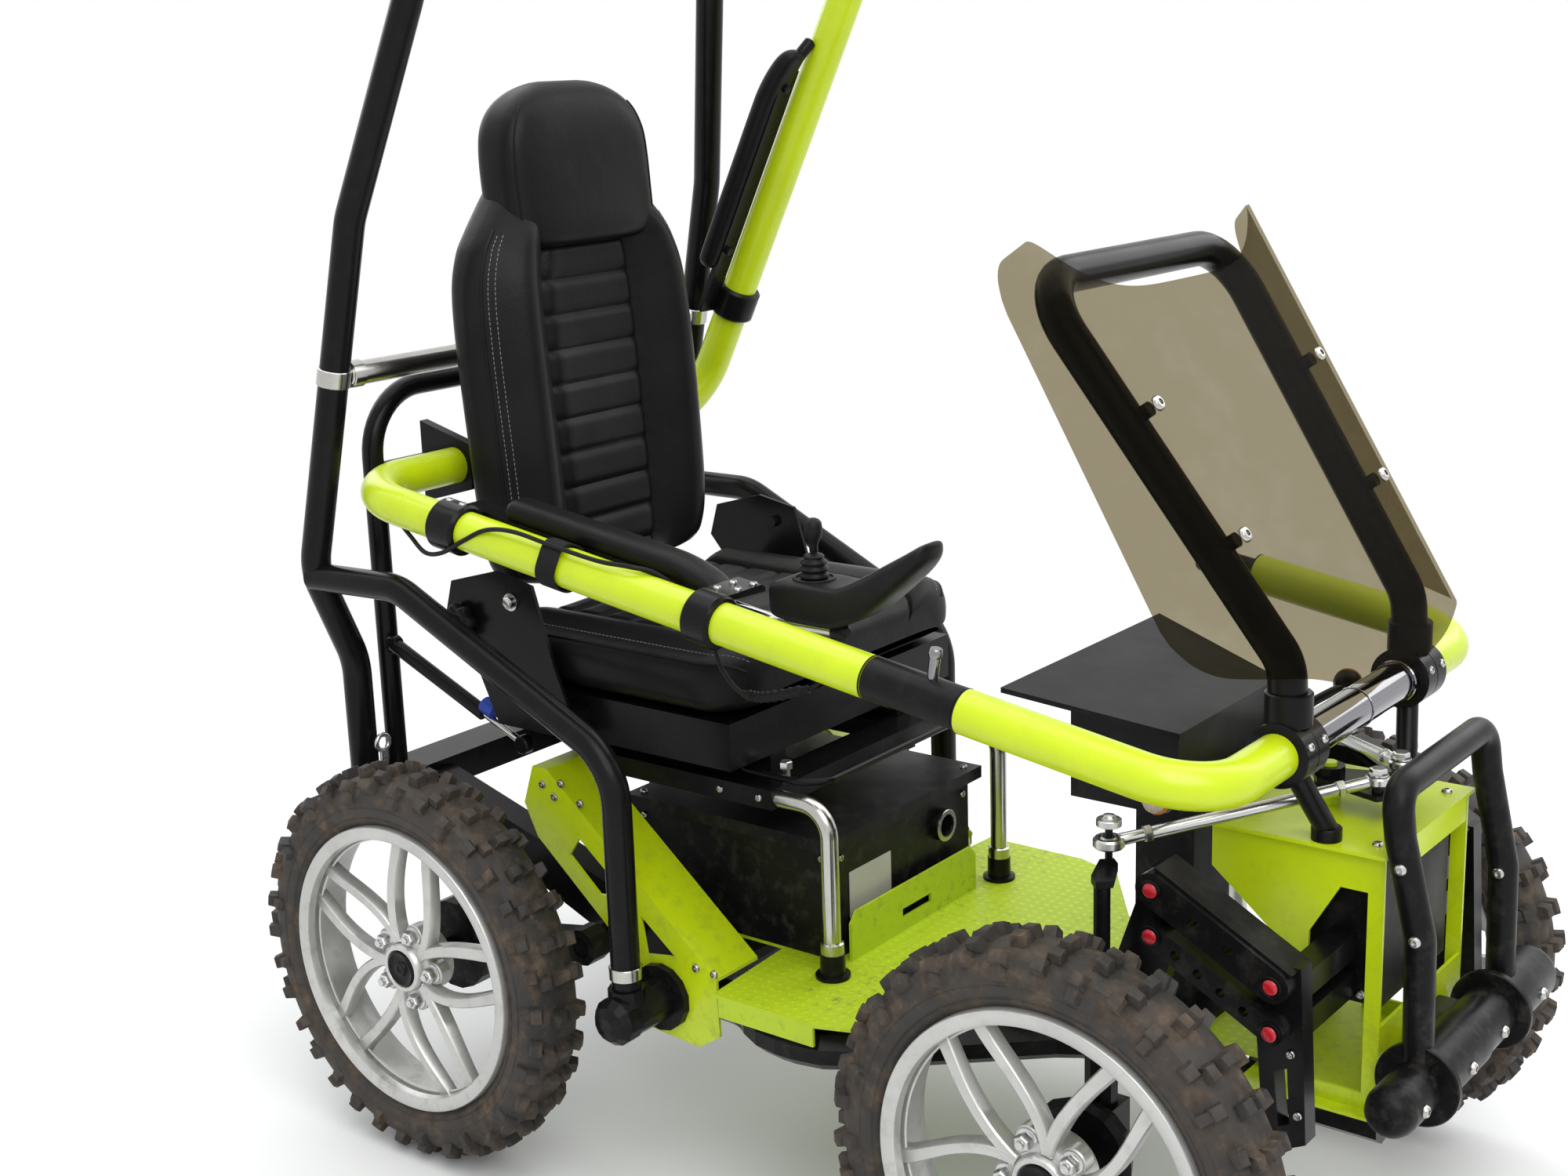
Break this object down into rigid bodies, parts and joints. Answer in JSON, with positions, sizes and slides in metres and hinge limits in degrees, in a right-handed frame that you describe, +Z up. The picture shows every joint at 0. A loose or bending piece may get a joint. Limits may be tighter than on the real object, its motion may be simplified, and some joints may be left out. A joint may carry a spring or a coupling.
{
  "type": "mobility scooter",
  "caption": "All-terrain mobility scooter with a padded bucket seat, roll hoop, swing-up side bars, joystick and tinted screen.",
  "frame": {"origin": "on the ground under the middle of the scooter's bounding box", "axes": "-Y is forward, +Z is up, -X is the rider's right side"},
  "size_m": [0.844, 1.5242, 1.6984],
  "materials": {
    "lime": "satin powder coat",
    "black": "satin black powder coat",
    "silver": "cast, lightly machined",
    "zinc": "zinc plated",
    "chrome": "dark chrome",
    "rubber": "matt rubber with dry mud",
    "leather": "satin vinyl leather",
    "plastic": "grained",
    "smoke": "smoke tinted sheet"
  },
  "bodies": {
    "frame": {"footplate": "lime", "chassis_frame": "black", "battery_box": "black", "battery_lid": "black", "seat_frame": "black", "roll_cage": "black", "cage_cross_tube": "zinc", "bar_hinge_frame": "black", "nose_plates": "lime", "drive_box": "black", "front_bumper": "black", "front_tray": "black", "screen_frame": "black", "windscreen": "smoke", "cross_handle": "chrome", "seat_post_right": "silver", "seat_post_left": "silver", "side_beam_right": "lime", "side_beam_left": "lime", "front_bracket_right": "black", "front_bracket_left": "black", "front_bar_right": "lime", "front_bar_left": "lime"},
    "crank": {"steering_crank": "black"},
    "arm_right": {"upper_arm_right": "black"},
    "link_right": {"lower_link_right": "black"},
    "upright_body_right": {"upright_right": "black"},
    "knuckle_body_right": {"knuckle_right": "black"},
    "rod_right": {"track_rod_right": "zinc"},
    "front_wheel_right": {"front_tyre_right": "rubber", "front_rim_right": "silver"},
    "swing_arm_right": {"rear_arm_right": "black"},
    "rear_wheel_right": {"rear_tyre_right": "rubber", "rear_rim_right": "silver"},
    "bar_right": {"side_bar_right": "lime", "bar_sleeve_right": "black", "arm_pad_right": "plastic", "joystick_box": "plastic"},
    "pin_right": {"latch_pin_right": "silver"},
    "arm_left": {"upper_arm_left": "black"},
    "link_left": {"lower_link_left": "black"},
    "upright_body_left": {"upright_left": "black"},
    "knuckle_body_left": {"knuckle_left": "black"},
    "rod_left": {"track_rod_left": "zinc"},
    "front_wheel_left": {"front_tyre_left": "rubber", "front_rim_left": "silver"},
    "swing_arm_left": {"rear_arm_left": "black"},
    "rear_wheel_left": {"rear_tyre_left": "rubber", "rear_rim_left": "silver"},
    "bar_left": {"side_bar_left": "lime", "bar_sleeve_left": "black", "arm_pad_left": "plastic"},
    "pin_left": {"latch_pin_left": "silver"},
    "seat": {"seat_pan": "black", "seat_cushion": "leather"},
    "backrest": {"seat_back": "leather"},
    "knob": {"recline_knob": "plastic"},
    "lever": {"seat_lever": "black"},
    "boot": {"joystick_boot": "plastic"},
    "stick": {"joystick_stick": "plastic"}
  },
  "joints": [
    {"name": "steering", "type": "hinge", "parent": "frame", "child": "crank", "pos_m": [0, -0.56, 0.604], "axis": [0, 0, 1], "range_deg": [-11, 11]},
    {"name": "front_spring_right", "type": "hinge", "parent": "frame", "child": "arm_right", "pos_m": [-0.262, -0.62, 0.472], "axis": [1, 0, 0], "range_deg": [-4, 3.2], "stiffness_Nm_per_rad": 700, "springref_deg": 1.72},
    {"name": "lower_link_right", "type": "hinge", "parent": "frame", "child": "link_right", "pos_m": [-0.262, -0.62, 0.422], "axis": [1, 0, 0], "range_deg": [-4, 3.2]},
    {"name": "upright_right", "type": "hinge", "parent": "arm_right", "child": "upright_body_right", "pos_m": [-0.262, -0.487, 0.544], "axis": [1, 0, 0], "range_deg": [-3.2, 4]},
    {"name": "kingpin_right", "type": "hinge", "parent": "upright_body_right", "child": "knuckle_body_right", "pos_m": [-0.284, -0.441, 0.264], "axis": [0, 0, 1], "range_deg": [-18.5, 18.5]},
    {"name": "rod_right", "type": "hinge", "parent": "crank", "child": "rod_right", "pos_m": [-0.031, -0.627, 0.618], "axis": [0, 0, 1], "range_deg": [-9.5, 9.5]},
    {"name": "front_wheel_right", "type": "hinge", "parent": "knuckle_body_right", "child": "front_wheel_right", "pos_m": [-0.378, -0.441, 0.264], "axis": [1, 0, 0], "continuous": true},
    {"name": "rear_spring_right", "type": "hinge", "parent": "frame", "child": "swing_arm_right", "pos_m": [-0.3, 0.275, 0.312], "axis": [1, 0, 0], "range_deg": [-4, 5], "stiffness_Nm_per_rad": 1200, "springref_deg": 1.15},
    {"name": "rear_wheel_right", "type": "hinge", "parent": "swing_arm_right", "child": "rear_wheel_right", "pos_m": [-0.378, 0.5, 0.264], "axis": [1, 0, 0], "continuous": true},
    {"name": "bar_swing_right", "type": "hinge", "parent": "frame", "child": "bar_right", "pos_m": [-0.159, 0.606, 0.864], "axis": [-1, 0, 0], "range_deg": [0, 71.8]},
    {"name": "latch_right", "type": "slide", "parent": "bar_right", "child": "pin_right", "axis": [0, -0.1509, 0.9885], "range_m": [0, 0.02]},
    {"name": "front_spring_left", "type": "hinge", "parent": "frame", "child": "arm_left", "pos_m": [0.262, -0.62, 0.472], "axis": [1, 0, 0], "range_deg": [-4, 3.2], "stiffness_Nm_per_rad": 700, "springref_deg": 1.72},
    {"name": "lower_link_left", "type": "hinge", "parent": "frame", "child": "link_left", "pos_m": [0.262, -0.62, 0.422], "axis": [1, 0, 0], "range_deg": [-4, 3.2]},
    {"name": "upright_left", "type": "hinge", "parent": "arm_left", "child": "upright_body_left", "pos_m": [0.262, -0.487, 0.544], "axis": [1, 0, 0], "range_deg": [-3.2, 4]},
    {"name": "kingpin_left", "type": "hinge", "parent": "upright_body_left", "child": "knuckle_body_left", "pos_m": [0.284, -0.441, 0.264], "axis": [0, 0, 1], "range_deg": [-18.5, 18.5]},
    {"name": "rod_left", "type": "hinge", "parent": "crank", "child": "rod_left", "pos_m": [0.031, -0.627, 0.618], "axis": [0, 0, 1], "range_deg": [-9.5, 9.5]},
    {"name": "front_wheel_left", "type": "hinge", "parent": "knuckle_body_left", "child": "front_wheel_left", "pos_m": [0.378, -0.441, 0.264], "axis": [1, 0, 0], "continuous": true},
    {"name": "rear_spring_left", "type": "hinge", "parent": "frame", "child": "swing_arm_left", "pos_m": [0.3, 0.275, 0.312], "axis": [1, 0, 0], "range_deg": [-4, 5], "stiffness_Nm_per_rad": 1200, "springref_deg": 1.15},
    {"name": "rear_wheel_left", "type": "hinge", "parent": "swing_arm_left", "child": "rear_wheel_left", "pos_m": [0.378, 0.5, 0.264], "axis": [1, 0, 0], "continuous": true},
    {"name": "bar_swing_left", "type": "hinge", "parent": "frame", "child": "bar_left", "pos_m": [0.159, 0.606, 0.864], "axis": [-1, 0, 0], "range_deg": [-71.8, 0]},
    {"name": "latch_left", "type": "slide", "parent": "bar_left", "child": "pin_left", "axis": [0, 0.892, 0.4521], "range_m": [0, 0.02]},
    {"name": "seat_slide", "type": "slide", "parent": "frame", "child": "seat", "axis": [0, -1, 0], "range_m": [0, 0.08]},
    {"name": "recline", "type": "hinge", "parent": "seat", "child": "backrest", "pos_m": [0, 0.404, 0.728], "axis": [1, 0, 0], "range_deg": [0, 20]},
    {"name": "recline_clamp", "type": "hinge", "parent": "seat", "child": "knob", "pos_m": [-0.2685, 0.486, 0.694], "axis": [1, 0, 0], "range_deg": [0, 180]},
    {"name": "seat_release", "type": "hinge", "parent": "seat", "child": "lever", "pos_m": [0, 0.12, 0.5355], "axis": [-1, 0, 0], "range_deg": [0, 6], "stiffness_Nm_per_rad": 5},
    {"name": "joystick_across", "type": "hinge", "parent": "bar_right", "child": "boot", "pos_m": [-0.25, -0.058, 0.818], "axis": [0, 1, 0], "range_deg": [-15, 15], "stiffness_Nm_per_rad": 0.6},
    {"name": "joystick_along", "type": "hinge", "parent": "boot", "child": "stick", "pos_m": [-0.25, -0.058, 0.818], "axis": [1, 0, 0], "range_deg": [-15, 15], "stiffness_Nm_per_rad": 0.4}
  ],
  "couplings": [
    {"joint": "lower_link_right", "follows": "front_spring_right", "ratio": 1},
    {"joint": "upright_right", "follows": "front_spring_right", "ratio": -1},
    {"joint": "kingpin_right", "follows": "steering", "ratio": -1.678},
    {"joint": "rod_right", "follows": "steering", "ratio": -0.8},
    {"joint": "lower_link_left", "follows": "front_spring_left", "ratio": 1},
    {"joint": "upright_left", "follows": "front_spring_left", "ratio": -1},
    {"joint": "kingpin_left", "follows": "steering", "ratio": -1.678},
    {"joint": "rod_left", "follows": "steering", "ratio": -0.8}
  ]
}
